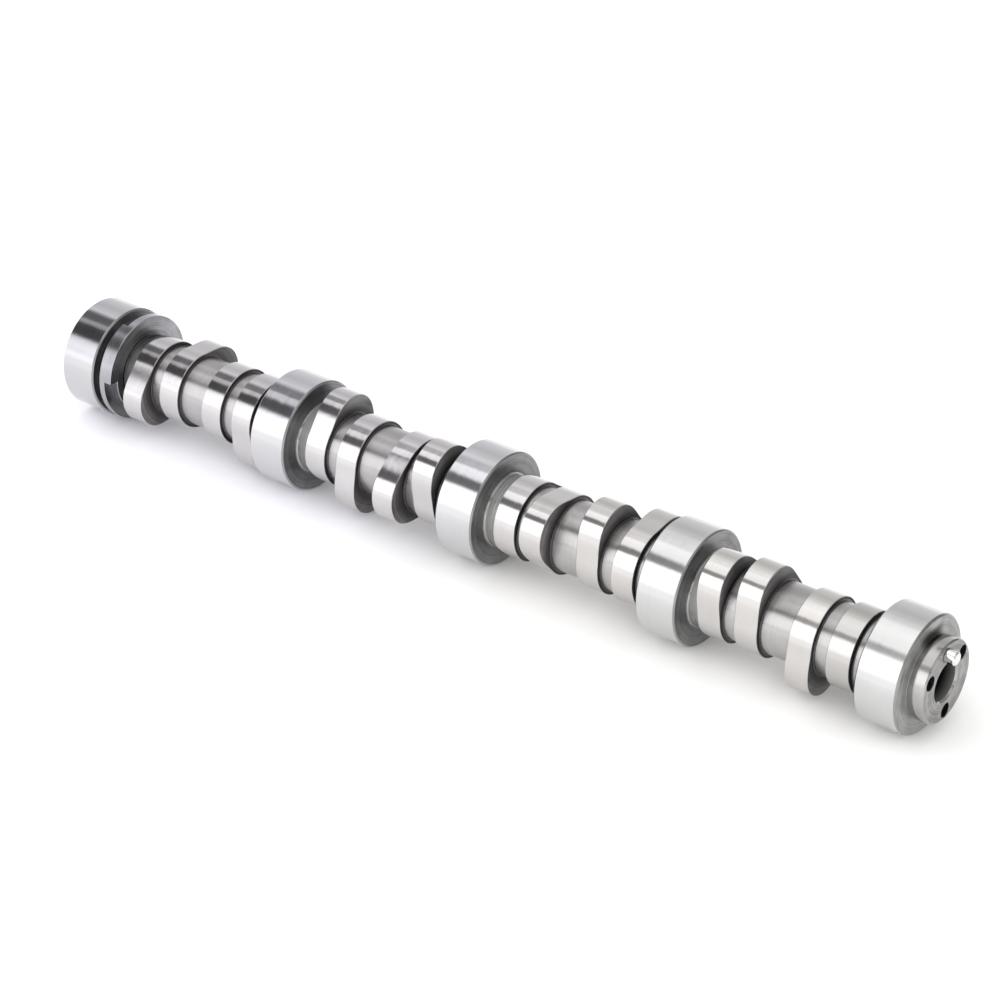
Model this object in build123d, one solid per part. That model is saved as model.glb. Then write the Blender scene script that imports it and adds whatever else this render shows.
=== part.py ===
from build123d import *
from math import cos, sin, radians, pi, atan2, hypot
import os

# Camshaft of a pushrod V8 with roller tappets: five bearing journals, sixteen
# cam lobes, a three-bolt nose with a locating dowel and a two-track sensor ring.
# Millimetres. X runs along the axis, +X towards the nose, +Z up.
# The origin is on the axis in the middle of the front journal.
# Angles are clockwise from +Z, seen from the nose end looking along -X.

# ---- driving dimensions -------------------------------------------------
JOURNAL_R = 27.5
JOURNAL_W = 20.6
JOURNAL_PITCH = 111.76
REAR_JOURNAL_X = -458.07          # front face of the rear journal, from the front face of the first
REAR_JOURNAL_W = 20.2
JOURNAL_CHAMFER = 0.8
FRONT_CHAMFER = 1.0               # the thrust edge of the front journal

CORE_R = 17.0
ROOT_FILLET = 1.0                 # at the foot of every lobe and journal

LOBE_W = 11.8
LOBE_OFFSETS = (33.7, 52.75, 80.15, 99.05)   # lobe centres behind each journal's front face
BASE_R = 19.2
LIFT = 7.4
ROLLER_R = 9.5
HALF_DURATION = 68.0
LIFT_P = 2.25
LIFT_Q = 2.1
LOBE_CHAMFER = 0.25
LOBE_ANGLES = (107, 209, 344, 332,
               62, 344, 299, 107,
               332, 254, 209, 17,
               197, 119, 74, 242)

NOSE_R = 19.4
NOSE_L = 8.5
NOSE_CHAMFER = 0.6
RELIEF_R = 18.9                   # undercut between the nose and the thrust face
RELIEF_W = 2.4
CENTRE_R = 9.0
CENTRE_DEPTH = 22.0
CENTRE_CHAMFER = 1.0
BOLT_CIRCLE_R = 15.1
BOLT_R = 3.4
BOLT_DEPTH = 20.0
BOLT_ANGLES = (55.5, 175.5, 295.5)
BOLT_CHAMFER = 0.2
PIN_R = 3.2
PIN_PRESS_R = 3.0                 # the pressed-in shank, same as its hole
PIN_MOUTH = 0.5                   # countersink of the dowel hole
PIN_CIRCLE_R = 14.3
PIN_ANGLE = 355.0
PIN_DEPTH = 12.0
PIN_OUT = 5.0
PIN_CHAMFER = 0.6

RING_R = 27.0                     # raised half of each track of the sensor ring
RING_BACK = -454.0
RING_STEP = -450.5                # where the rear track meets the front one
RING_FRONT = -446.5
RING_LOW_R = 22.0                 # low half of the tracks, and the neck to the rear journal
RING_REAR_START = 163.0           # each raised half runs 180 degrees on from here
RING_FRONT_START = 275.0
RING_CHAMFER = 0.3

REAR_HOLE_R = 4.0
REAR_HOLE_DEPTH = 14.0
REAR_HOLE_CONE_R = 7.0            # mouth of the 60 degree centre

XF = JOURNAL_W / 2                # front face of the front journal
X_END = XF + REAR_JOURNAL_X - REAR_JOURNAL_W
X_NOSE = XF + NOSE_L

os.makedirs("parts", exist_ok=True)


def at(angle, r, x=0.0):
    a = radians(angle)
    return Vector(x, r * sin(a), r * cos(a))


def ring_of(points):
    """Solid of revolution about X from (x, r) points, closed along the axis."""
    pts = [(points[0][0], 0.0)] + list(points) + [(points[-1][0], 0.0)]
    wire = Polyline(*[(x, 0, r) for x, r in pts], close=True)
    return revolve(make_face(wire), axis=Axis.X, revolution_arc=360)


# ---- journals, core, nose and ring as one turned profile ------------------
profile = [(X_NOSE, NOSE_R - NOSE_CHAMFER), (X_NOSE - NOSE_CHAMFER, NOSE_R),
           (XF + RELIEF_W, NOSE_R), (XF + RELIEF_W, RELIEF_R), (XF, RELIEF_R)]
fronts = [XF - JOURNAL_PITCH * i for i in range(4)]
for i, f in enumerate(fronts):
    c = FRONT_CHAMFER if i == 0 else JOURNAL_CHAMFER
    profile += [(f, CORE_R)] if i else []
    profile += [(f, JOURNAL_R - c), (f - c, JOURNAL_R),
                (f - JOURNAL_W + JOURNAL_CHAMFER, JOURNAL_R),
                (f - JOURNAL_W, JOURNAL_R - JOURNAL_CHAMFER),
                (f - JOURNAL_W, CORE_R)]
rf, rs, rb = XF + RING_FRONT, XF + RING_STEP, XF + RING_BACK
f5 = XF + REAR_JOURNAL_X
profile += [(rf, CORE_R), (rf, RING_LOW_R), (f5, RING_LOW_R), (f5, JOURNAL_R - JOURNAL_CHAMFER),
            (f5 - JOURNAL_CHAMFER, JOURNAL_R),
            (X_END + JOURNAL_CHAMFER, JOURNAL_R),
            (X_END, JOURNAL_R - JOURNAL_CHAMFER)]
shaft = ring_of(profile)


def half_moon(points, start):
    """Half of a turned ring, raised from the start angle over the next 180 degrees."""
    x = (points[0][0] + points[-1][0]) / 2
    seat = Plane(origin=(x, 0, 0), x_dir=tuple(at(start + 90, 1)), z_dir=(1, 0, 0))
    return ring_of(points) - seat * Pos(-50, 0, 0) * Box(100, 120, 20)


shaft += half_moon([(rs, RING_R), (rb + RING_CHAMFER, RING_R), (rb, RING_R - RING_CHAMFER)], RING_REAR_START)
shaft += half_moon([(rf, RING_R - RING_CHAMFER), (rf - RING_CHAMFER, RING_R), (rs, RING_R)], RING_FRONT_START)


# ---- lobes ---------------------------------------------------------------
def lift(deg):
    t = abs(deg) / HALF_DURATION
    return 0.0 if t >= 1 else LIFT * (1 - t ** LIFT_P) ** LIFT_Q


def contact(deg):
    """Point of the lobe under a roller whose centre stands at this angle."""
    d = 0.05
    a, b, c = (radians(deg - d), radians(deg), radians(deg + d))
    ra, r, rc = (BASE_R + ROLLER_R + lift(v) for v in (deg - d, deg, deg + d))
    tx, ty = rc * cos(c) - ra * cos(a), rc * sin(c) - ra * sin(a)
    n = hypot(tx, ty)
    return (r * cos(b) - ty / n * ROLLER_R, r * sin(b) + tx / n * ROLLER_R)


N = 68
flank = [contact(-HALF_DURATION + 2 * HALF_DURATION * i / N) for i in range(N + 1)]
a0 = radians(HALF_DURATION)
flank[0] = (BASE_R * cos(a0), -BASE_R * sin(a0))
flank[-1] = (BASE_R * cos(a0), BASE_R * sin(a0))
outline = Spline(*flank, tangents=[(sin(a0), cos(a0)), (-sin(a0), cos(a0))])
base = ThreePointArc(flank[-1], (-BASE_R, 0), flank[0])
lobe_face = make_face(Wire([outline, base]))
lobe = extrude(lobe_face, amount=LOBE_W)
rims = lobe.edges().filter_by(lambda e: abs(e.center().Z) < 1e-6 or abs(e.center().Z - LOBE_W) < 1e-6)
lobe = chamfer(rims, LOBE_CHAMFER)

centres = [XF - JOURNAL_PITCH * b - o for b in range(4) for o in LOBE_OFFSETS]
lobes = []
for x, angle in zip(centres, LOBE_ANGLES):
    seat = Plane(origin=(x - LOBE_W / 2, 0, 0), x_dir=tuple(at(angle, 1)), z_dir=(1, 0, 0))
    lobes.append(seat * lobe)
shaft = shaft.fuse(*lobes)
shaft = shaft.solids()[0] if hasattr(shaft, "solids") else shaft

# round every foot where a lobe, a journal or the ring meets the core
feet = [e for e in shaft.edges() if e.geom_type == GeomType.CIRCLE
        and abs(e.radius - CORE_R) < 1e-4 and e.length > 2 * pi * CORE_R * 0.95]
shaft = fillet(feet, ROOT_FILLET)


# ---- holes of the nose -----------------------------------------------------
def drill(r, depth, mouth, cone):
    """Blind hole along -X from x = 0, with a chamfered mouth and a drill point."""
    return ring_of([(1.0, r + mouth + 1.0), (-mouth, r), (-depth, r), (-depth - r * cone, 0.001)])


nose_hole = Pos(X_NOSE, 0, 0) * drill(CENTRE_R, CENTRE_DEPTH, CENTRE_CHAMFER, 0.6)
shaft -= nose_hole
for a in BOLT_ANGLES:
    shaft -= Pos(*at(a, BOLT_CIRCLE_R, X_NOSE)) * drill(BOLT_R, BOLT_DEPTH, BOLT_CHAMFER, 0.6)

# dowel hole: flat-bottomed, the shank of the stepped dowel fills it
dowel_seat = at(PIN_ANGLE, PIN_CIRCLE_R, X_NOSE)
shaft -= Pos(*dowel_seat) * ring_of([(1.0, PIN_PRESS_R + PIN_MOUTH + 1.0), (-PIN_MOUTH, PIN_PRESS_R),
                                     (-PIN_DEPTH, PIN_PRESS_R)])

# centre of the rear end, with a 60 degree mouth
rear = ring_of([(-1.0, REAR_HOLE_CONE_R + 1.0 * 0.577),
                ((REAR_HOLE_CONE_R - REAR_HOLE_R) / 0.577, REAR_HOLE_R),
                (REAR_HOLE_DEPTH, REAR_HOLE_R), (REAR_HOLE_DEPTH + 2.4, 0.001)])
shaft -= Pos(X_END, 0, 0) * rear

camshaft = shaft.solids()[0]
assert len(shaft.solids()) == 1

pin = ring_of([(PIN_OUT, PIN_R - PIN_CHAMFER), (PIN_OUT - PIN_CHAMFER, PIN_R),
               (0.2, PIN_R), (0.0, PIN_PRESS_R), (-PIN_DEPTH, PIN_PRESS_R)])
dowel_pin = (Pos(*dowel_seat) * pin).solids()[0]

export_step(camshaft, "parts/camshaft.step")
export_step(dowel_pin, "parts/dowel_pin.step")
print("camshaft", camshaft.bounding_box(), "volume cm3", camshaft.volume / 1000)
print("dowel_pin", dowel_pin.bounding_box(), "volume cm3", dowel_pin.volume / 1000)
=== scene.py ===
# Camshaft: the looks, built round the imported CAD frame.  Metres, in the CAD frame.
import math

import bpy
import numpy as np
from mathutils import Vector, Matrix, geometry


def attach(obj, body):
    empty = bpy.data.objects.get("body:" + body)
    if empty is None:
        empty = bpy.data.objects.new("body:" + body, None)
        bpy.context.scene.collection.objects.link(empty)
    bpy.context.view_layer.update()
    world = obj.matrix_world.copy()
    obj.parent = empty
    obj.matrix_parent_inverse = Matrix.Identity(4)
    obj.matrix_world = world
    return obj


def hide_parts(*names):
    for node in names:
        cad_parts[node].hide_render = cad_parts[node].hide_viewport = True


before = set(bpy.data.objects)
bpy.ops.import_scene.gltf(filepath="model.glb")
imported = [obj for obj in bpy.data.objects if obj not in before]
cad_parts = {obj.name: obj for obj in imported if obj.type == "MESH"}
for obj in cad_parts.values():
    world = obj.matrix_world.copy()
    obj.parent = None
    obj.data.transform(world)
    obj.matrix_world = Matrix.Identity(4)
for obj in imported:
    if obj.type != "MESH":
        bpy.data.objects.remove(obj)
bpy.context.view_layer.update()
MM = 0.001


# ------------------------------------------------------------------ sizes, mm
XF = 10.3                      # front face of the front journal
JR, JW, PITCH = 27.5, 20.6, 111.76
CORE, FIL = 17.0, 1.0
LW = 11.8
J_CH, F_CH, L_CH = 0.8, 1.0, 0.25     # edges of the journals, of the thrust face and of the lobes
OFFS = (33.7, 52.75, 80.15, 99.05)
BASE, LIFT, ROLL, HALF, LP, LQ = 19.2, 7.4, 9.5, 68.0, 2.25, 2.1
PHASES = (107, 209, 344, 332, 62, 344, 299, 107, 332, 254, 209, 17, 197, 119, 74, 242)
NOSE_R, NOSE_L, REL_R, REL_W = 19.4, 8.5, 18.9, 2.4
X_NOSE = XF + NOSE_L
F5 = XF - 458.07
X_END = F5 - 20.2
RING_F, RING_S, RING_B = XF - 446.5, XF - 450.5, XF - 454.0
RING_R, RING_LOW = 27.0, 22.0
RING_REAR_AT, RING_FRONT_AT = 163.0, 275.0     # each raised half runs 180 degrees on from here
BOLT_ANGLES = (55.5, 175.5, 295.5)
BOLT_C, BOLT_R, BOLT_D = 15.1, 3.4, 20.0
CEN_R, CEN_D = 9.0, 22.0
PIN_A, PIN_C, PIN_R, PIN_OUT, PIN_IN = 355.0, 14.3, 3.2, 5.0, 12.0
SHANK_R, PIN_MOUTH = 3.0, 0.5

# ---------------------------------------------------- angles round the shaft
# clockwise from +Z seen from the nose; close pairs make the steps of the sensor ring crisp
STEP = (95.0, 163.0, 275.0, 343.0)
th = [a for a in np.arange(0.0, 360.0, 2.0) if min(abs(a - s) for s in STEP) > 0.5]
for s in STEP:
    th += [s - 0.12, s + 0.12]
TH = np.array(sorted(th))
N = len(TH)
RAD = np.radians(TH)
SY, CZ = np.sin(RAD), np.cos(RAD)


def lobe_radius(phase):
    """Polar radius of a roller lobe at every angle, and the angle of its surface normal."""
    phi = np.linspace(-HALF, HALF, 1361)
    t = np.abs(phi) / HALF
    h = LIFT * np.clip(1 - t ** LP, 0, 1) ** LQ
    R = BASE + ROLL + h
    p = np.radians(phi)
    px, py = R * np.cos(p), R * np.sin(p)
    dx, dy = np.gradient(px), np.gradient(py)
    n = np.hypot(dx, dy)
    nx, ny = dy / n, -dx / n                       # outward
    sx, sy = px - nx * ROLL, py - ny * ROLL
    ang, rad = np.degrees(np.arctan2(sy, sx)), np.hypot(sx, sy)
    nang = np.degrees(np.arctan2(ny, nx))
    o = np.argsort(ang)
    ang, rad, nang = ang[o], rad[o], nang[o]
    rel = (TH - phase + 180.0) % 360.0 - 180.0
    r = np.where(np.abs(rel) < ang[-1], np.interp(rel, ang, rad), BASE)
    na = np.where(np.abs(rel) < ang[-1], np.interp(rel, ang, nang), rel)
    return r, np.radians(na + phase)


FLAT = RAD.copy()              # normal angle of a round section

# ------------------------------------------------ stations from rear to nose
# each band: (x0, r0, x1, r1, normal0, normal1, normal angle array, zone)
verts, faces, lnorm, fmat = [], [], [], []
(JOURNAL, LOBE, TURNED, CORE_Z, RING_Z, NOSE_Z, FACE_Z, THRUST, THREAD, BORE, FOOT,
 SIDE, RFACE, NFACE, COLLAR, EDGE) = range(16)


def put_ring(x, r):
    """Adds a ring of vertices and returns their first index."""
    k = len(verts)
    r = np.broadcast_to(np.asarray(r, float), (N,))
    verts.extend(zip(np.full(N, x), r * SY, r * CZ))
    return k


def band(a, b, n0, n1, ang, zone):
    """Quads between ring a (towards the rear) and ring b (towards the nose); n = (axial, radial)."""
    sa, ca = np.sin(ang), np.cos(ang)

    def nv(n, i):
        l = math.hypot(n[0], n[1]) or 1.0
        return (n[0] / l, n[1] / l * sa[i], n[1] / l * ca[i])

    for i in range(N):
        j = (i + 1) % N
        faces.append((a + i, b + i, b + j, a + j))
        fmat.append(zone)
        lnorm.extend((nv(n0, i), nv(n1, i), nv(n1, j), nv(n0, j)))


class Walker:
    """Walks the turned profile from the rear to the nose."""

    def __init__(self, x, r, ang=FLAT):
        self.x, self.r, self.ang = x, r, ang
        self.k = put_ring(x, r)

    def to(self, x, r, n0, n1, zone, ang=None):
        k = put_ring(x, r)
        band(self.k, k, n0, n1, self.ang if ang is None else ang, zone)
        self.x, self.r, self.k = x, r, k

    def line(self, x, r, zone, ang=None):
        """Straight or conical run with its own true normal."""
        dr = float(np.mean(np.asarray(r) - np.asarray(self.r)))
        dx = x - self.x
        n = (-dr, dx)
        self.to(x, r, n, n, zone, ang)

    def foot(self, rise, zone, steps=5):
        """Concave quarter round; rise +1 climbs forwards from the core, -1 comes down to the core."""
        x0, r0 = self.x, self.r
        for s in range(1, steps + 1):
            a0, a1 = (s - 1) / steps * math.pi / 2, s / steps * math.pi / 2
            if rise > 0:     # from the core up to a rear-facing face
                x = x0 + FIL * math.sin(a1)
                r = r0 + FIL * (1 - math.cos(a1))
                n0, n1 = (-math.sin(a0), math.cos(a0)), (-math.sin(a1), math.cos(a1))
            else:            # from a front-facing face down to the core
                x = x0 + FIL * (1 - math.cos(a1))
                r = r0 - FIL * math.sin(a1)
                n0, n1 = (math.cos(a0), math.sin(a0)), (math.cos(a1), math.sin(a1))
            self.to(x, r, n0, n1, zone)


AX, BK, UP = (1, 0), (-1, 0), (0, 1)


# rear end: centre hole, rear face
w = Walker(X_END + 16.4, 0.02)
rear_cap = w.k
w.line(X_END + 14.0, 4.0, BORE)
w.to(X_END + 5.2, 4.0, (0, -1), (0, -1), BORE)
w.line(X_END, 7.0, BORE)
w.to(X_END, 12.0, BK, BK, TURNED)
w.to(X_END, 26.6, BK, BK, TURNED)


def land(w, x1, r, c, ang, zone, soft=0.10, front=None, edge=None):
    """From a rear-facing face at w.x up over a chamfered land and down to a front-facing face at x1.
    r may be an array round the shaft; the chamfer's edges are slightly broken."""
    x0, edge = w.x, zone if edge is None else edge
    r = np.broadcast_to(np.asarray(r, float), (N,))
    d = (-1, 1)
    w.to(x0, r - c, BK, BK, w.zone_rear, None)
    # broken edge, chamfer, broken edge
    w.to(x0 + soft, r - c + soft, BK, d, edge, ang)
    w.to(x0 + c - soft * 0.4, r - soft * 0.6, d, d, edge, ang)
    w.to(x0 + c + soft * 0.6, r, d, UP, zone, ang)
    c = front or c
    w.to(x1 - c - soft * 0.6, r, UP, UP, zone, ang)
    e = (1, 1)
    w.to(x1 - c + soft * 0.4, r - soft * 0.6, UP, e, zone, ang)
    w.to(x1 - soft, r - c + soft, e, e, edge, ang)
    w.to(x1, r - c, e, AX, edge, ang)


# rear journal
w.zone_rear = TURNED
land(w, F5, JR, J_CH, FLAT, JOURNAL, edge=EDGE)
w.to(F5, RING_LOW + 0.5, AX, AX, SIDE)
# neck between journal and sensor ring
w.to(F5 + 0.5, RING_LOW, AX, UP, SIDE)
w.to(RING_B, RING_LOW, UP, UP, SIDE)
# sensor ring: two tracks, each raised over half the turn
rear_up = (TH - RING_REAR_AT) % 360.0 < 180.0
front_up = (TH - RING_FRONT_AT) % 360.0 < 180.0
rear_r, front_r = np.where(rear_up, RING_R, RING_LOW), np.where(front_up, RING_R, RING_LOW)
ring_k0 = w.k
w.to(RING_B + 0.001, np.where(rear_up, RING_R - 0.3, RING_LOW), BK, BK, FACE_Z)
w.to(RING_B + 0.3, rear_r, (-1, 1), UP, RING_Z)
w.to(RING_S, rear_r, UP, UP, RING_Z)
w.to(RING_S + 0.001, front_r, AX, AX, RFACE)
w.to(RING_F - 0.3, front_r, UP, UP, RING_Z)
w.to(RING_F, front_r - 0.3, UP, (1, 1), RING_Z)
w.to(RING_F, CORE + FIL, AX, AX, RFACE)
ring_end = w.k
w.foot(-1, FOOT)

# lobes and journals, rear to front
stops = []
for b in (3, 2, 1, 0):
    for i in (3, 2, 1, 0):
        stops.append(("lobe", XF - PITCH * b - OFFS[i], PHASES[4 * b + i]))
    stops.append(("journal", XF - PITCH * b - JW / 2, b))
CORE_STEPS = 2
for n, (kind, xc, which) in enumerate(stops):
    half = (LW if kind == "lobe" else JW) / 2
    x0, x1 = xc - half, xc + half
    w.to(x0 - FIL, CORE, UP, UP, (COLLAR if n % 5 == 0 else CORE_Z) if n else SIDE)     # the collar in front of a journal
    w.foot(+1, CORE_Z)
    w.zone_rear = FACE_Z
    if kind == "lobe":
        r, na = lobe_radius(which)
        land(w, x1, r, L_CH, na, LOBE)
        w.to(x1, CORE + FIL, AX, AX, FACE_Z)
        w.foot(-1, FOOT)
    else:
        land(w, x1, JR, J_CH, FLAT, JOURNAL, front=F_CH if which == 0 else J_CH, edge=EDGE)
        if which:
            w.to(x1, CORE + FIL, AX, AX, SIDE)
            w.foot(-1, CORE_Z)

# thrust face of the front journal, undercut and nose
w.to(XF, 21.2, AX, AX, THRUST)
w.to(XF, REL_R + 0.35, AX, AX, THRUST)
w.to(XF + 0.35, REL_R, AX, UP, THRUST)
w.to(XF + REL_W - 0.2, REL_R, UP, UP, NOSE_Z)
w.to(XF + REL_W, NOSE_R - 0.1, BK, BK, NOSE_Z)
w.to(XF + REL_W + 0.15, NOSE_R, (-1, 1), UP, NOSE_Z)
w.to(X_NOSE - 0.7, NOSE_R, UP, UP, NOSE_Z)
w.to(X_NOSE - 0.5, NOSE_R - 0.1, UP, (1, 1), NOSE_Z)
w.to(X_NOSE - 0.1, NOSE_R - 0.5, (1, 1), (1, 1), NOSE_Z)
w.to(X_NOSE, NOSE_R - 0.6, (1, 1), AX, NOSE_Z)
nose_rim = w.k

# close the rear hole
c0 = len(verts)
verts.append((X_END + 16.41, 0.0, 0.0))
for i in range(N):
    faces.append((rear_cap + i, c0, rear_cap + (i + 1) % N)[::-1])
    fmat.append(BORE)
    lnorm.extend([(-1, 0, 0)] * 3)


# ------------------------------------------------------------- nose holes
def hole_rings(cy, cz, seg, stations, close_depth):
    """Walls of a blind hole going in along -X.  stations: (depth, radius, (axial, radial) normal).
    Returns the indices of its mouth ring."""
    first = None
    prev = None
    for s, (d, r, n0, n1, zone) in enumerate(stations):
        k = len(verts)
        for i in range(seg):
            a = 2 * math.pi * i / seg
            rr = r(a) if callable(r) else r
            verts.append((X_NOSE - d, cy + rr * math.sin(a), cz + rr * math.cos(a)))
        if prev is not None:
            for i in range(seg):
                j = (i + 1) % seg
                ai, aj = 2 * math.pi * i / seg, 2 * math.pi * j / seg
                # seen from inside the hole
                faces.append((prev + i, prev + j, k + j, k + i)[::-1])
                fmat.append(zone)
                def nv(n, a):
                    l = math.hypot(*n)
                    return (n[0] / l, n[1] / l * math.sin(a), n[1] / l * math.cos(a))
                lnorm.extend((nv(n0, ai), nv(n0, aj), nv(n1, aj), nv(n1, ai))[::-1])
        else:
            first = k
        prev = k
    c = len(verts)
    verts.append((X_NOSE - close_depth, cy, cz))
    for i in range(seg):
        faces.append((prev + i, prev + (i + 1) % seg, c)[::-1])
        fmat.append(stations[-1][4])
        lnorm.extend([(1, 0, 0)] * 3)
    return list(range(first, first + seg))


mouths = []
IN = (0, -1)
# large centre hole: chamfer, wall, drill point
mouths.append(hole_rings(0, 0, 96, [
    (0, CEN_R + 1.0, AX, AX, BORE),
    (0.12, CEN_R + 0.9, AX, (1, -1), NOSE_Z),
    (0.9, CEN_R + 0.1, (1, -1), (1, -1), NOSE_Z),
    (1.1, CEN_R, (1, -1), IN, BORE),
    (8.0, CEN_R, IN, IN, BORE),
    (CEN_D, CEN_R, IN, IN, BORE),
    (CEN_D + 0.01, CEN_R - 0.02, (1, -0.6), (1, -0.6), BORE),
    (CEN_D + CEN_R * 0.55, CEN_R * 0.08, (1, -0.6), (1, -0.6), BORE),
], CEN_D + CEN_R * 0.6))

# threaded holes: the thread is a real helix cut into the wall
TP, TD, TL = 1.25, 0.28, 15.0
for A in BOLT_ANGLES:
    a = math.radians(A)
    cy, cz = BOLT_C * math.sin(a), BOLT_C * math.cos(a)
    st = [(0, BOLT_R + 0.2, AX, AX, NOSE_Z), (0.2, BOLT_R + 0.02, (1, -1), (1, -1), NOSE_Z)]
    d = 0.45
    while d < TL:
        fade = min(1.0, (d - 0.3) / 0.8, (TL - d) / 1.5)

        def rad(ang, d=d, fade=fade):
            u = (d / TP - ang / (2 * math.pi)) % 1.0
            return BOLT_R + TD * fade * (1 - abs(2 * u - 1))
        u0 = (d / TP) % 1.0
        st.append((d, rad, IN, IN, THREAD))
        d += TP / 6
    st += [(TL + 0.2, BOLT_R, IN, IN, THREAD), (BOLT_D, BOLT_R, IN, IN, THREAD),
           (BOLT_D + 0.01, BOLT_R - 0.01, (1, -0.6), (1, -0.6), THREAD),
           (BOLT_D + BOLT_R * 0.55, BOLT_R * 0.08, (1, -0.6), (1, -0.6), THREAD)]
    mouths.append(hole_rings(cy, cz, 40, st, BOLT_D + BOLT_R * 0.6))

# countersunk dowel hole
a = math.radians(PIN_A)
py, pz = PIN_C * math.sin(a), PIN_C * math.cos(a)
mouths.append(hole_rings(py, pz, 64, [
    (0, SHANK_R + PIN_MOUTH, AX, AX, THREAD),
    (PIN_MOUTH, SHANK_R, (1, -1), (1, -1), THREAD),
    (PIN_IN, SHANK_R, IN, IN, THREAD),
    (PIN_IN + 0.001, SHANK_R * 0.5, AX, AX, THREAD),
], PIN_IN + 0.001))

# flat end face of the nose: the rim and the holes' mouths, triangulated between them
pts, loops = [], []
index_of = []
rim = list(range(nose_rim, nose_rim + N))
for loop in [rim] + mouths:
    ids = []
    for k in loop:
        ids.append(len(pts))
        pts.append(Vector((verts[k][1], verts[k][2])))
        index_of.append(k)
    loops.append(ids)
edges = []
for ids in loops:
    edges += [(ids[i], ids[(i + 1) % len(ids)]) for i in range(len(ids))]
v2, e2, f2, ov, oe, of_ = geometry.delaunay_2d_cdt(pts, edges, [], 0, 1e-6)
centres = [((0.0, 0.0), CEN_R + 1.0)]
for A in BOLT_ANGLES:
    a = math.radians(A)
    centres.append(((BOLT_C * math.sin(a), BOLT_C * math.cos(a)), BOLT_R + 0.2))
centres.append(((py, pz), SHANK_R + PIN_MOUTH))
back = [index_of[o[0]] for o in ov]
for f in f2:
    c = sum((v2[i] for i in f), Vector((0, 0))) / len(f)
    if any((c - Vector(p)).length < r * 0.9995 for p, r in centres):
        continue
    if c.length > NOSE_R:
        continue
    ids = [back[i] for i in f]
    p0, p1, p2 = (Vector(verts[i]) for i in ids[:3])
    if (p1 - p0).cross(p2 - p0).x < 0:
        ids = ids[::-1]
    faces.append(tuple(ids))
    fmat.append(NFACE)
    lnorm.extend([(1, 0, 0)] * len(ids))

V = np.array([tuple(v) for v in verts], float) * MM
mesh = bpy.data.meshes.new("camshaft_body")
mesh.from_pydata(V.tolist(), [], [tuple(int(i) for i in f) for f in faces])
mesh.update()
print("camshaft verts", len(V), "faces", len(faces), "tris", sum(len(f) - 2 for f in faces))
for p in mesh.polygons:
    p.use_smooth = True
mesh.polygons.foreach_set("material_index", np.array(fmat, dtype=np.int32))

# the end walls and ledges of the sensor ring keep their own flat normals
ln = np.array(lnorm, float)
P3 = V[np.array([f[:3] if len(f) >= 3 else f for f in [tuple(x) for x in faces]])]
fn = np.cross(P3[:, 1] - P3[:, 0], P3[:, 2] - P3[:, 0])
fn /= np.maximum(np.linalg.norm(fn, axis=1, keepdims=True), 1e-15)
starts = np.cumsum([0] + [len(f) for f in faces])
for fi, f in enumerate(faces):
    if min(f) >= ring_k0 and max(f) < ring_end and len(f) == 4:
        i = (f[0] - ring_k0) % N
        j = (i + 1) % N
        ledge = abs(verts[f[0]][0] - RING_S) < 0.0005 and abs(verts[f[1]][0] - RING_S - 0.001) < 0.0005
        if rear_up[i] != rear_up[j] or front_up[i] != front_up[j] or (ledge and rear_up[i] != front_up[i]):
            ln[starts[fi]:starts[fi + 1]] = fn[fi]
ln /= np.maximum(np.linalg.norm(ln, axis=1, keepdims=True), 1e-12)
bad = int(sum(1 for fi in range(len(faces)) if np.dot(ln[starts[fi]], fn[fi]) < -0.2))
print("faces whose normal disagrees", bad)
mesh.normals_split_custom_set([tuple(map(float, v)) for v in ln])
body = bpy.data.objects.new("camshaft_body", mesh)
bpy.context.scene.collection.objects.link(body)

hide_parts("camshaft")
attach(body, "root")

# ---------------------------------------------------------------- dowel pin
prof = [(-PIN_IN + 0.002, 0.0, BK, BK), (-PIN_IN + 0.002, SHANK_R - 0.3, BK, BK), (-PIN_IN + 0.3, SHANK_R - 0.002, (-1, 1), (-1, 1)),
        (0.0, SHANK_R - 0.002, UP, UP), (0.2, PIN_R - 0.002, (-1, 1), (-1, 1)), (PIN_OUT - 0.75, PIN_R - 0.002, UP, UP), (PIN_OUT - 0.62, PIN_R - 0.03, UP, (1, 1)),
        (PIN_OUT - 0.08, PIN_R - 0.55, (1, 1), (1, 1)), (PIN_OUT, PIN_R - 0.68, (1, 1), AX), (PIN_OUT, 0.0, AX, AX)]
SEG = 96
pv, pf, pn = [], [], []
rings = []
for x, r, _, _ in prof:
    if r == 0.0:
        rings.append([len(pv)])
        pv.append((X_NOSE + x, py, pz))
    else:
        rings.append(list(range(len(pv), len(pv) + SEG)))
        for i in range(SEG):
            t = 2 * math.pi * i / SEG
            pv.append((X_NOSE + x, py + r * math.sin(t), pz + r * math.cos(t)))
for s in range(len(prof) - 1):
    A_, B_ = rings[s], rings[s + 1]
    n0, n1 = prof[s + 1][2], prof[s + 1][3]

    def nv(n, i):
        t = 2 * math.pi * i / SEG
        l = math.hypot(*n)
        return (n[0] / l, n[1] / l * math.sin(t), n[1] / l * math.cos(t))
    for i in range(SEG):
        j = (i + 1) % SEG
        if len(A_) == 1:
            pf.append((A_[0], B_[i], B_[j]))
            pn += [nv(n0, i), nv(n1, i), nv(n1, j)]
        elif len(B_) == 1:
            pf.append((A_[i], B_[0], A_[j]))
            pn += [nv(n0, i), nv(n1, i), nv(n0, j)]
        else:
            pf.append((A_[i], B_[i], B_[j], A_[j]))
            pn += [nv(n0, i), nv(n1, i), nv(n1, j), nv(n0, j)]
pmesh = bpy.data.meshes.new("dowel_body")
pmesh.from_pydata([tuple(c * MM for c in v) for v in pv], [], pf)
for p in pmesh.polygons:
    p.use_smooth = True
pmesh.normals_split_custom_set([tuple(map(float, v)) for v in pn])
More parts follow.
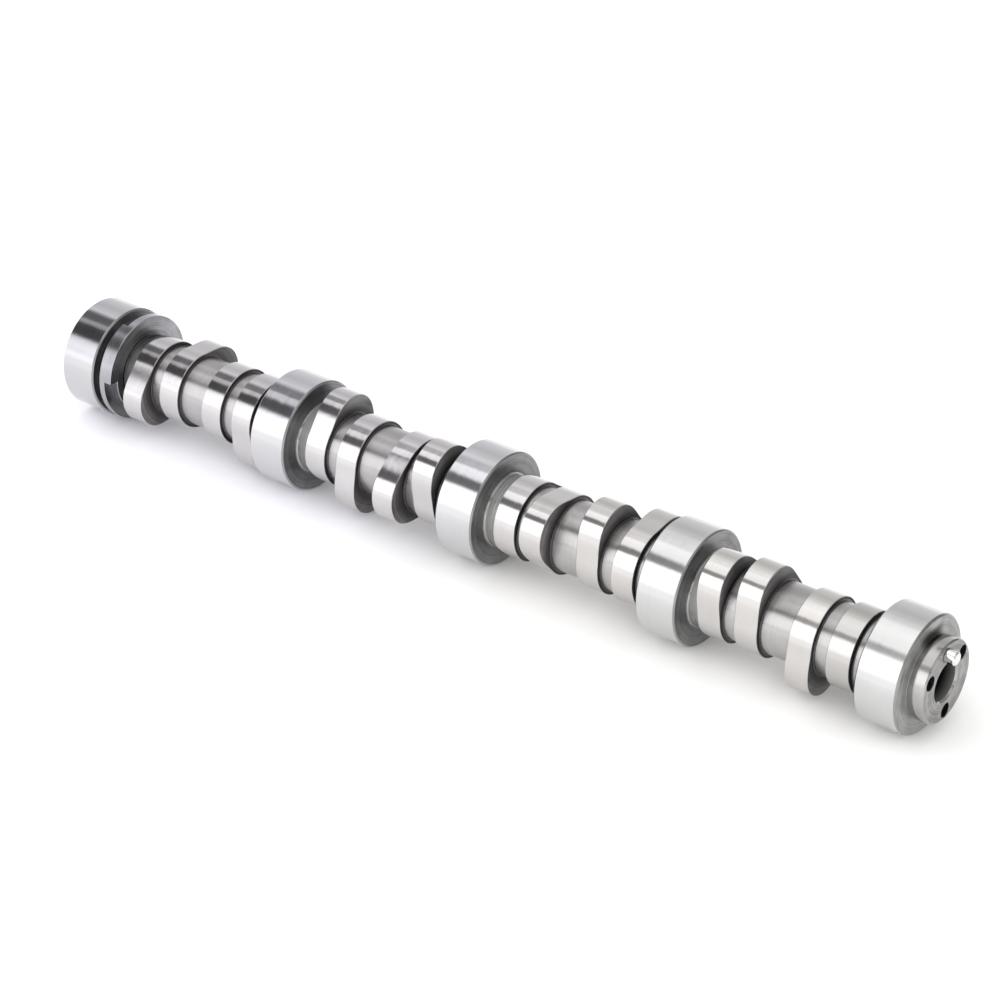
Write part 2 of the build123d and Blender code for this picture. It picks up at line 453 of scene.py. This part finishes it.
dowel = bpy.data.objects.new("dowel_body", pmesh)
bpy.context.scene.collection.objects.link(dowel)
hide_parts("dowel_pin")
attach(dowel, "root")


# ---------------------------------------------------------------- materials
class Nodes:
    """Small helper for node materials."""

    def __init__(self, name=None, tree=None):
        if tree is not None:
            self.t = tree
            return
        self.mat = bpy.data.materials.new(name)
        self.mat.use_nodes = True
        self.t = self.mat.node_tree
        self.t.nodes.clear()
        self.out = self.t.nodes.new("ShaderNodeOutputMaterial")
        self.bsdf = self.t.nodes.new("ShaderNodeBsdfPrincipled")
        self.t.links.new(self.bsdf.outputs[0], self.out.inputs[0])

    def new(self, kind, **kw):
        n = self.t.nodes.new(kind)
        for k, v in kw.items():
            setattr(n, k, v)
        return n

    def link(self, a, b):
        self.t.links.new(a, b)

    def math(self, op, a, b=None, c=None, clamp=False):
        n = self.new("ShaderNodeMath", operation=op, use_clamp=clamp)
        for k, v in enumerate((a, b, c)):
            if v is None:
                continue
            if isinstance(v, (int, float)):
                n.inputs[k].default_value = v
            else:
                self.link(v, n.inputs[k])
        return n.outputs[0]

    def polar(self):
        """x, r and the direction round the shaft (y/r, z/r), from the object's own coordinates in metres."""
        tc = self.new("ShaderNodeTexCoord")
        sep = self.new("ShaderNodeSeparateXYZ")
        self.link(tc.outputs["Object"], sep.inputs[0])
        x, y, z = sep.outputs
        r = self.math("SQRT", self.math("ADD", self.math("MULTIPLY", y, y), self.math("MULTIPLY", z, z)))
        return tc.outputs["Object"], x, r, (self.math("DIVIDE", y, r), self.math("DIVIDE", z, r))

    def vec(self, x, y, z):
        n = self.new("ShaderNodeCombineXYZ")
        for k, v in enumerate((x, y, z)):
            if isinstance(v, (int, float)):
                n.inputs[k].default_value = v
            else:
                self.link(v, n.inputs[k])
        return n.outputs[0]

    def noise(self, vec, scale, detail=3.0, rough=0.5, dist=0.0):
        n = self.new("ShaderNodeTexNoise")
        n.noise_dimensions = "3D"
        n.inputs["Scale"].default_value = scale
        n.inputs["Detail"].default_value = detail
        n.inputs["Roughness"].default_value = rough
        n.inputs["Distortion"].default_value = dist
        self.link(vec, n.inputs["Vector"])
        return n.outputs["Fac"]

    def range(self, v, a, b, c, d, smooth=False):
        n = self.new("ShaderNodeMapRange")
        n.interpolation_type = "SMOOTHSTEP" if smooth else "LINEAR"
        self.link(v, n.inputs["Value"])
        for k, u in zip(("From Min", "From Max", "To Min", "To Max"), (a, b, c, d)):
            n.inputs[k].default_value = u
        return n.outputs["Result"]

    def mix(self, f, a, b):
        n = self.new("ShaderNodeMix", data_type="RGBA")
        if isinstance(f, (int, float)):
            n.inputs[0].default_value = f
        else:
            self.link(f, n.inputs[0])
        for k, v in ((6, a), (7, b)):
            if isinstance(v, tuple):
                n.inputs[k].default_value = (*v, 1.0)
            else:
                self.link(v, n.inputs[k])
        return n.outputs[2]

    def bump(self, h, strength, dist, normal=None):
        n = self.new("ShaderNodeBump")
        n.inputs["Strength"].default_value = strength
        n.inputs["Distance"].default_value = dist
        self.link(h, n.inputs["Height"])
        if normal is not None:
            self.link(normal, n.inputs["Normal"])
        return n.outputs[0]


def steel(name, light, dark, rough, rough_var, line_scale=9000.0, line_bump=0.0, blotch=60.0,
          radial=False, grain=0.0, grain_scale=2500.0, wave=0.0, spread=0.18, metal=1.0, root=None,
          along=None, corner_shade=None):
    """Machined steel: fine marks that run round the axis, faint blotches, and its own roughness.
    root: (radius, radius, colour), painted shade near the core, which fades out between the radii.
    along: (x, x, factor), a tone that changes along the shaft. The last argument is painted shade: a dark arc laid into
    a corner, (middle angle, half width inside and outside, radius inside and outside, colour)."""
    m = Nodes(name)
    obj, x, r, a = m.polar()
    across = r if radial else x
    turn = [m.math("MULTIPLY", c, 0.477) for c in a]        # no seam: it closes after one turn
    lines = m.noise(m.vec(m.math("MULTIPLY", across, line_scale), *turn), 1.0, 4.0, 0.65)
    broad = m.noise(obj, blotch, 3.0, 0.55)
    tone = m.math("ADD", m.math("MULTIPLY", lines, 0.55), m.math("MULTIPLY", broad, 0.45))
    col = m.mix(m.range(tone, 0.5 - spread, 0.5 + spread, 0.0, 1.0), dark, light)
    # painted shade: the colour darkens towards the core, where the shadow in the fillet falls
    if root:
        col = m.mix(m.range(r, root[0], root[1], 0.0, 1.0, smooth=True), root[2], col)
    if along:
        col = m.mix(m.range(x, along[0], along[1], 0.0, 1.0, smooth=True), col, along[2])
    # painted shade: a dark arc laid into the colour in a corner, where a shadow falls
    if corner_shade:
        at, inner, outer, r0, r1, shade = corner_shade
        c = m.math("ADD", m.math("MULTIPLY", a[0], math.sin(math.radians(at))),
                   m.math("MULTIPLY", a[1], math.cos(math.radians(at))))
        near_it = m.range(c, math.cos(math.radians(outer)), math.cos(math.radians(inner)), 0.0, 1.0, smooth=True)
        low = m.range(m.math("ADD", r, m.range(tone, 0.35, 0.65, -0.0009, 0.0009)), r0, r1, 1.0, 0.0, smooth=True)
        col = m.mix(m.math("MULTIPLY", near_it, low), col, shade)
    m.link(col, m.bsdf.inputs["Base Color"])
    m.bsdf.inputs["Metallic"].default_value = metal
    rr = m.range(m.math("ADD", m.math("MULTIPLY", lines, 0.6), m.math("MULTIPLY", broad, 0.4)), 0.3, 0.7,
                 max(rough - rough_var, 0.02), rough + rough_var)
    m.link(rr, m.bsdf.inputs["Roughness"])
    nrm = None
    if wave:
        nrm = m.bump(m.noise(obj, 110.0, 2.0, 0.5), wave, 0.0006)
    if grain:
        nrm = m.bump(m.noise(obj, grain_scale, 2.0, 0.6), grain, 0.00006, nrm)
    if line_bump:
        nrm = m.bump(lines, line_bump, 0.00002, nrm)
    if nrm is not None:
        m.link(nrm, m.bsdf.inputs["Normal"])
    return m.mat


MATS = [None] * 16
# the darker tone of the rear journal is painted shade
MATS[JOURNAL] = steel("ground_journal", (0.61, 0.61, 0.615), (0.55, 0.55, 0.555), 0.10, 0.03, line_bump=0.12, wave=0.10,
                      along=(-0.38, -0.46, (0.545, 0.545, 0.55)))
MATS[LOBE] = steel("ground_lobe", (0.620, 0.602, 0.594), (0.549, 0.532, 0.524), 0.09, 0.03, line_bump=0.12, wave=0.10,
                    along=(-0.0355, -0.0305, (0.505, 0.491, 0.484)))
MATS[TURNED] = steel("turned_end", (0.50, 0.50, 0.51), (0.36, 0.36, 0.37), 0.28, 0.06, line_scale=4000, line_bump=0.3, radial=True)
MATS[CORE_Z] = steel("turned_core", (0.53, 0.518, 0.513), (0.38, 0.371, 0.367), 0.25, 0.035, line_scale=5000, line_bump=0.2)
# the turning marks run round the core, so it shines softly along the shaft and sharply round it
core = MATS[CORE_Z].node_tree
tangent = core.nodes.new("ShaderNodeTangent")
tangent.direction_type, tangent.axis = "RADIAL", "X"
core_bsdf = core.nodes["Principled BSDF"]
core.links.new(tangent.outputs[0], core_bsdf.inputs["Tangent"])
core_bsdf.inputs["Anisotropic"].default_value = 1.0
core_bsdf.inputs["Anisotropic Rotation"].default_value = 0.25
MATS[COLLAR] = steel("turned_collar", (0.46, 0.455, 0.45), (0.32, 0.317, 0.315), 0.30, 0.06, line_scale=1600, line_bump=0.3,
                     spread=0.10, metal=0.55)
MATS[RING_Z] = steel("ring_rim", (0.42, 0.42, 0.435), (0.32, 0.32, 0.335), 0.18, 0.05, line_bump=0.2)
# the nose's dark arc at the top of the undercut is painted shade in the corner by the thrust face
MATS[NOSE_Z] = steel("turned_nose", (0.48, 0.475, 0.47), (0.34, 0.335, 0.33), 0.14, 0.05, line_scale=4000, line_bump=0.3, radial=True,
                      corner_shade=(6.0, 6.0, 30.0, 0.01895, 0.0192, (0.10, 0.10, 0.095)))
MATS[NFACE] = steel("nose_end", (0.36, 0.352, 0.352), (0.185, 0.18, 0.18), 0.26, 0.06, line_scale=1300, line_bump=0.3, blotch=110.0, radial=True, spread=0.09)
# the lobe sides' root colour is painted shade, darker towards the core
MATS[FACE_Z] = steel("lobe_side", (0.24, 0.230, 0.226), (0.053, 0.051, 0.052), 0.45, 0.10, line_scale=1300, line_bump=0.3, radial=True,
                     blotch=48.0, spread=0.12, metal=0.45, root=(0.0190, 0.0232, (0.042, 0.040, 0.042)))
# the fillets at the foot of the front faces are near black: painted shade in the crease against the core
MATS[FOOT] = steel("lobe_foot", (0.10, 0.095, 0.10), (0.05, 0.048, 0.05), 0.24, 0.06, line_scale=3500, line_bump=0.2)
# the dark arc on the thrust face just above the nose is painted shade in the corner
MATS[THRUST] = steel("thrust_face", (0.46, 0.46, 0.455), (0.255, 0.255, 0.25), 0.46, 0.08, line_scale=1300, line_bump=0.3, blotch=110.0, radial=True, spread=0.10,
                      metal=0.75, corner_shade=(0.0, 6.0, 30.0, 0.0210, 0.0250, (0.06, 0.06, 0.055)))
MATS[SIDE] = steel("journal_side", (0.36, 0.36, 0.365), (0.18, 0.18, 0.185), 0.40, 0.08, line_scale=1300, line_bump=0.3, radial=True, spread=0.10)
MATS[RFACE] = steel("ring_face", (0.45, 0.45, 0.46), (0.20, 0.20, 0.21), 0.34, 0.08, line_scale=1100, line_bump=0.3, blotch=75.0, radial=True, spread=0.12)
MATS[EDGE] = steel("journal_edge", (0.37, 0.37, 0.37), (0.28, 0.28, 0.28), 0.28, 0.05, line_scale=2500, line_bump=0.2)
MATS[THREAD] = steel("thread_wall", (0.26, 0.25, 0.25), (0.14, 0.14, 0.14), 0.35, 0.08)
# the bores fade to near black deeper in: painted shade inside the holes
MATS[BORE] = steel("bore_wall", (0.36, 0.355, 0.35), (0.26, 0.255, 0.25), 0.35, 0.08, metal=0.6,
                   along=(0.0190, 0.0115, (0.015, 0.015, 0.015)))
MATS[BORE].node_tree.nodes["Principled BSDF"].inputs["Specular IOR Level"].default_value = 0.1
for m in MATS:
    mesh.materials.append(m)
pmesh.materials.append(steel("dowel_ground", (0.86, 0.86, 0.86), (0.76, 0.76, 0.76), 0.12, 0.03, line_bump=0.1))

# ------------------------------------------------------------ floor and light
scene = bpy.context.scene
scene.view_settings.view_transform = "Standard"
FLOOR_Z = -0.0275
fmesh = bpy.data.meshes.new("floor")
S = 12.0
fmesh.from_pydata([(-S, -S, FLOOR_Z), (S, -S, FLOOR_Z), (S, S, FLOOR_Z), (-S, S, FLOOR_Z)], [], [(0, 1, 2, 3)])
floor = bpy.data.objects.new("floor", fmesh)
scene.collection.objects.link(floor)
fm = Nodes("floor_paper")
f_obj = fm.new("ShaderNodeTexCoord").outputs["Object"]
f_sep = fm.new("ShaderNodeSeparateXYZ")
fm.link(f_obj, f_sep.inputs[0])
# painted shade on the floor: its colour is darker near the shaft on the camera side and darker on the far side, round
# the object
front_side = fm.range(f_sep.outputs[1], -0.24, -0.03, 1.0, 0.0, smooth=True)
far_side = fm.range(f_sep.outputs[1], 0.03, 0.30, 0.0, 1.0, smooth=True)
rear_end = fm.range(f_sep.outputs[0], -0.33, -0.17, 1.0, 0.0, smooth=True)
near = fm.mix(rear_end, (0.84, 0.837, 0.826), (0.85, 0.845, 0.885))
away = fm.mix(rear_end, (0.99, 0.99, 0.983), (0.985, 0.98, 1.0))
paper = fm.mix(front_side, near, away)
fm.link(fm.mix(far_side, paper, (0.78, 0.78, 0.78)), fm.bsdf.inputs["Base Color"])
fm.bsdf.inputs["Roughness"].default_value = 1.0
fm.bsdf.inputs["Specular IOR Level"].default_value = 0.0
fmesh.materials.append(fm.mat)

world = bpy.data.worlds.new("studio")
scene.world = world
world.use_nodes = True
wt = world.node_tree
bg = wt.nodes["Background"]
bg.inputs[0].default_value = (1.0, 1.0, 1.0, 1)
bg.inputs[1].default_value = 1.0

# The studio round the object: a bright tent with a dimmer ceiling behind, a dark
# slot above the camera side that widens towards the rear, and a darker front end.
wn = Nodes(tree=wt)
sep = wn.new("ShaderNodeSeparateXYZ")
wn.link(wn.new("ShaderNodeTexCoord").outputs["Generated"], sep.inputs[0])
dx, dy, dz = sep.outputs
Q = wn.math("MULTIPLY", wn.math("ARCTAN2", wn.math("MULTIPLY", dy, -1.0), dz), 180 / math.pi)   # 0 up, 90 the camera side
lean = wn.math("MULTIPLY", dx, -1.0)
s_ = wn.range(lean, 0.39, 0.625, 0.0, 1.0)

ramp = wn.new("ShaderNodeValToRGB")
ramp.color_ramp.interpolation = "EASE"
STOPS = [(-180, 1.2), (-110, 1.2), (-97, 1.1), (-83, 0.96), (-71, 0.89), (-47, 0.78), (-35, 0.89), (-23, 1.11), (-11, 1.51), (1, 1.60),
         (25, 1.47), (50, 1.97), (62, 2.28), (76, 2.18), (92, 1.55), (180, 1.35)]
TOP = 2.4
for k, (q, v) in enumerate(STOPS):
    pos = (q + 180) / 360
    el = ramp.color_ramp.elements[0] if k == 0 else (ramp.color_ramp.elements[1] if k == 1 else ramp.color_ramp.elements.new(pos))
    el.position = pos
    el.color = (v / TOP, v / TOP, v / TOP, 1)
wn.link(wn.range(Q, -180.0, 180.0, 0.0, 1.0), ramp.inputs[0])
base = wn.math("MULTIPLY", ramp.outputs[0], TOP)


def smooth(v, lo, hi):
    """0 below lo, 1 above hi; lo and hi may be numbers or sockets."""
    n = wn.new("ShaderNodeMapRange")
    n.interpolation_type = "SMOOTHSTEP"
    wn.link(v, n.inputs["Value"])
    for k, u in (("From Min", lo), ("From Max", hi)):
        if isinstance(u, (int, float)):
            n.inputs[k].default_value = u
        else:
            wn.link(u, n.inputs[k])
    return n.outputs["Result"]


s2 = wn.math("MULTIPLY", s_, s_)


def quad(c0, c1, c2):
    """c0 + c1 s + c2 s^2"""
    return wn.math("ADD", wn.math("ADD", wn.math("MULTIPLY", s_, c1), wn.math("MULTIPLY", s2, c2)), c0)


q_low, q_high = quad(49.5, -17.0, 14.0), quad(34.0, -12.5, -10.2)
soft_low, soft_high = quad(5.0, -10.0, 15.0), quad(5.0, -2.0, 1.0)
slot = wn.math("MULTIPLY", smooth(Q, wn.math("SUBTRACT", q_high, soft_high), wn.math("ADD", q_high, soft_high)),
               wn.math("SUBTRACT", 1.0, smooth(Q, wn.math("SUBTRACT", q_low, soft_low), wn.math("ADD", q_low, soft_low))))
rear_fade = wn.range(lean, 0.70, 0.80, 1.0, 0.0)
slot = wn.math("MULTIPLY", wn.math("MULTIPLY", slot, quad(0.58, 0.78, -0.52)), rear_fade)
bar = wn.math("MULTIPLY", smooth(Q, -23.0, -13.0), wn.math("SUBTRACT", 1.0, smooth(Q, -1.0, 4.0)))
bar = wn.math("MULTIPLY", wn.math("MULTIPLY", bar, wn.range(s_, 0.12, 0.8, 0.0, 0.66)), rear_fade)
haze = wn.math("MULTIPLY", smooth(Q, -29.0, -17.0), wn.math("SUBTRACT", 1.0, smooth(Q, 37.0, 47.0)))
haze = wn.math("MULTIPLY", wn.math("MULTIPLY", haze, wn.range(s_, 0.6, 0.96, 0.0, 0.68)), rear_fade)
rear_dim = wn.math("MULTIPLY", smooth(Q, 40.0, 57.0), wn.math("SUBTRACT", 1.0, smooth(Q, 70.0, 90.0)))
rear_dim = wn.math("MULTIPLY", rear_dim, wn.range(s_, 0.7, 1.05, 0.0, 0.40))
front = wn.math("MULTIPLY", smooth(dx, -0.33, -0.05), 0.28)
front_end = wn.math("MULTIPLY", smooth(dx, 0.02, 0.34), wn.range(dz, 0.10, 0.50, 0.445, 0.19))
val = base
for f in (slot, bar, haze, front, front_end, rear_dim):
    val = wn.math("MULTIPLY", val, wn.math("SUBTRACT", 1.0, f))
glossy = wn.new("ShaderNodeLightPath").outputs["Is Glossy Ray"]
fill = wn.math("MAXIMUM", wn.math("ADD", wn.math("MULTIPLY", dy, -0.70), 1.50), 1.03)         # soft light on the floor, a little more from the camera side
val = wn.math("ADD", wn.math("MULTIPLY", val, glossy), wn.math("MULTIPLY", wn.math("SUBTRACT", 1.0, glossy), fill))
tint = wn.mix(smooth(s_, 0.30, 0.72), (1.0, 1.0, 0.985), (1.0, 0.995, 1.05))
wn.link(wn.mix(glossy, (1.0, 1.0, 1.0), tint), bg.inputs[0])
wn.link(val, bg.inputs[1])
world.cycles.sampling_method = "NONE"

# ------------------------------------------------------------------- camera
a, e = math.radians(37.20), math.radians(31.07)
back = Vector((math.sin(a) * math.cos(e), -math.cos(a) * math.cos(e), math.sin(e)))
right = Vector((math.cos(a), math.sin(a), 0.0))
up = back.cross(right)
cam = bpy.data.cameras.new("camera")
cam.sensor_width = 36.0
cam.sensor_fit = "HORIZONTAL"
cam.lens = 3128.33 / 1000 * 36.0
cam.clip_end = 100.0
co = bpy.data.objects.new("camera", cam)
co.matrix_world = Matrix.Translation(Vector((0.5269, -0.9800, 0.7449))) @ Matrix((right, up, back)).transposed().to_4x4()
scene.collection.objects.link(co)
scene.camera = co
